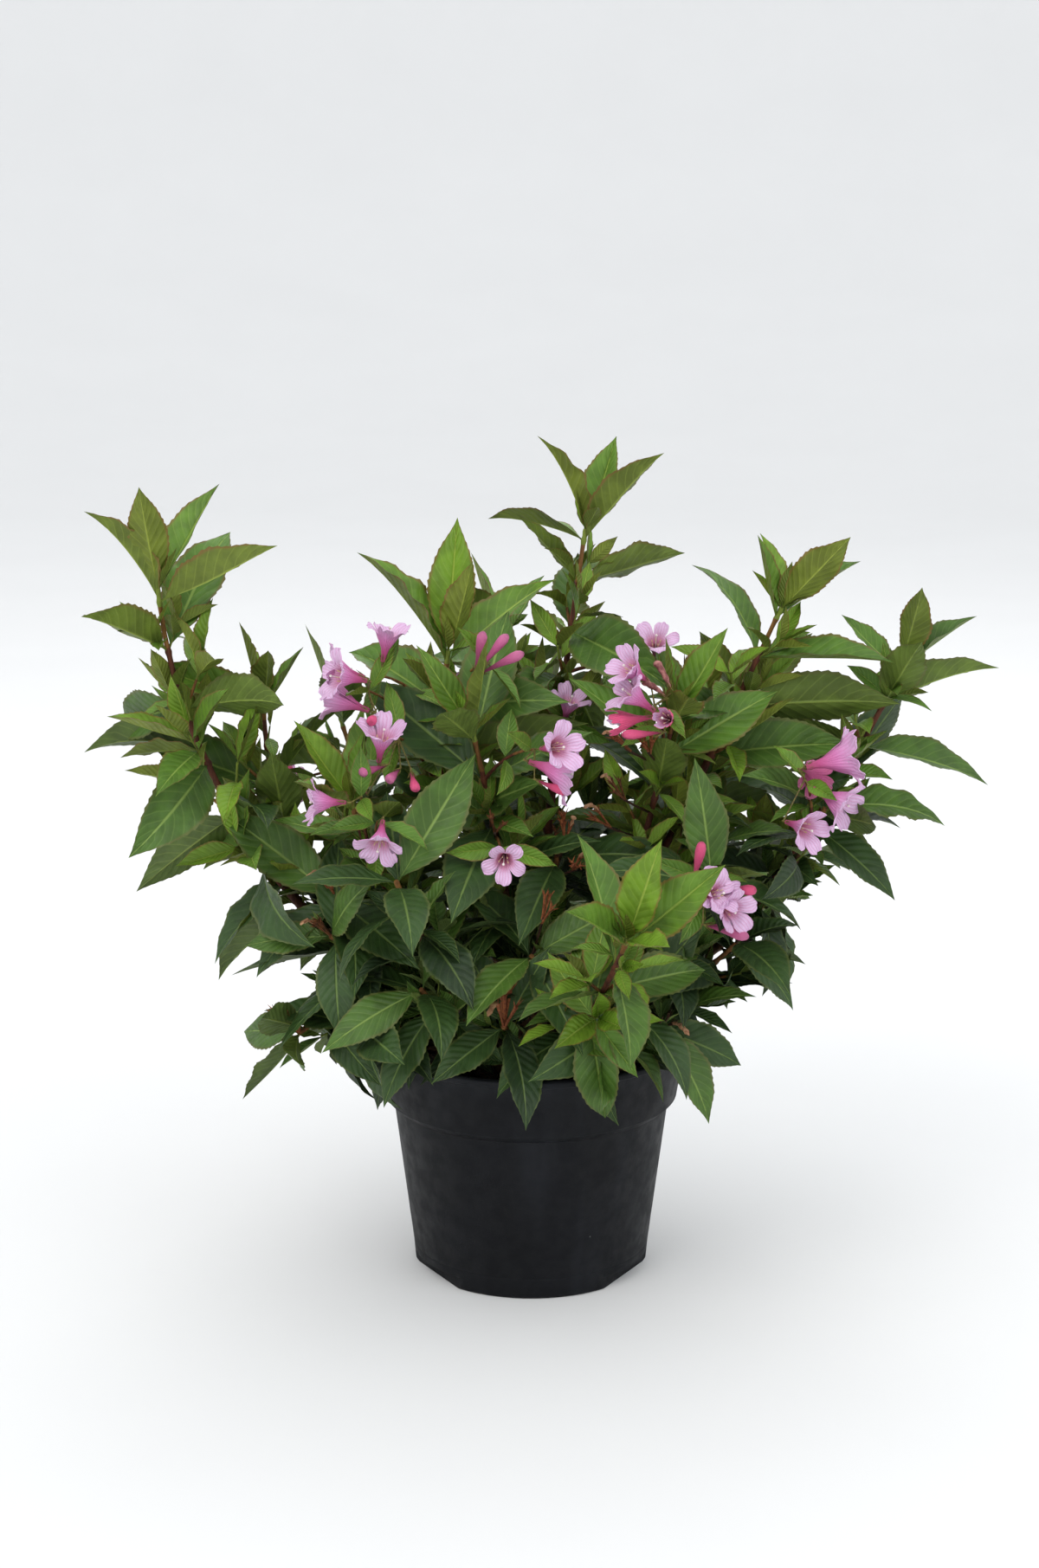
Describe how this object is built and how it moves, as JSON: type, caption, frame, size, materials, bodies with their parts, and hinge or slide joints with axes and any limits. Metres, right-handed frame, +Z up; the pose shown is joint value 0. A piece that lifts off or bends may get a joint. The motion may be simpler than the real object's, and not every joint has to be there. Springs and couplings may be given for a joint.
{
  "type": "potted flowering shrub",
  "caption": "Garden shrub in flower in a round nursery pot: arching leafy canes and side shoots with clusters of pink funnel blossom above the soil.",
  "frame": {"origin": "centre of the flat underside that the pot stands on", "axes": "+Z up, +X to the right seen from the front, +Y away from the front"},
  "size_m": [0.7281, 0.5422, 0.6811],
  "materials": {
    "pot_plastic": "matte black moulded plastic",
    "soil": "rough dark potting soil",
    "bark": "rough reddish brown bark",
    "young_foliage": "soft satin young green leaves",
    "grown_foliage": "satin mid green leaves",
    "old_foliage": "satin dark green leaves",
    "blossom": "soft matte pink petals"
  },
  "bodies": {
    "root": {"pot": "pot_plastic", "soil": "soil", "bough_left_centre": "bark", "bough_left_inner": "bark", "bough_right_centre": "bark", "cane_back_leader": "bark", "cane_back_left": "bark", "cane_back_low": "bark", "cane_back_right": "bark", "cane_centre": "bark", "cane_centre_front": "bark", "cane_centre_left_leader": "bark", "cane_far_right_leader": "bark", "cane_front_centre": "bark", "cane_front_leader": "bark", "cane_front_right_low": "bark", "cane_left_leader": "bark", "cane_low_left": "bark", "cane_right_front": "bark", "cane_right_leader": "bark", "cane_right_mid": "bark", "cane_tall_leader": "bark", "mass_back_leader": "young_foliage", "mass_back_left": "grown_foliage", "mass_back_left_low": "old_foliage", "mass_back_low": "old_foliage", "mass_back_middle": "old_foliage", "mass_back_right": "grown_foliage", "mass_back_right_low": "old_foliage", "mass_back_rim_left": "old_foliage", "mass_back_rim_right": "old_foliage", "mass_centre": "grown_foliage", "mass_centre_front": "old_foliage", "mass_centre_left_leader": "young_foliage", "mass_far_right_leader": "young_foliage", "mass_front_centre": "old_foliage", "mass_front_leader": "young_foliage", "mass_front_left": "old_foliage", "mass_front_middle": "old_foliage", "mass_front_right": "old_foliage", "mass_front_right_low": "old_foliage", "mass_left_centre": "young_foliage", "mass_left_inner": "young_foliage", "mass_left_inside": "old_foliage", "mass_left_leader": "young_foliage", "mass_left_low": "old_foliage", "mass_left_mid": "old_foliage", "mass_low_left": "old_foliage", "mass_middle": "old_foliage", "mass_right_centre": "young_foliage", "mass_right_front": "old_foliage", "mass_right_inner": "old_foliage", "mass_right_inside": "old_foliage", "mass_right_leader": "young_foliage", "mass_right_low": "old_foliage", "mass_right_mid": "old_foliage", "mass_rim_left": "old_foliage", "mass_tall_leader": "young_foliage"}
  },
  "joints": []
}
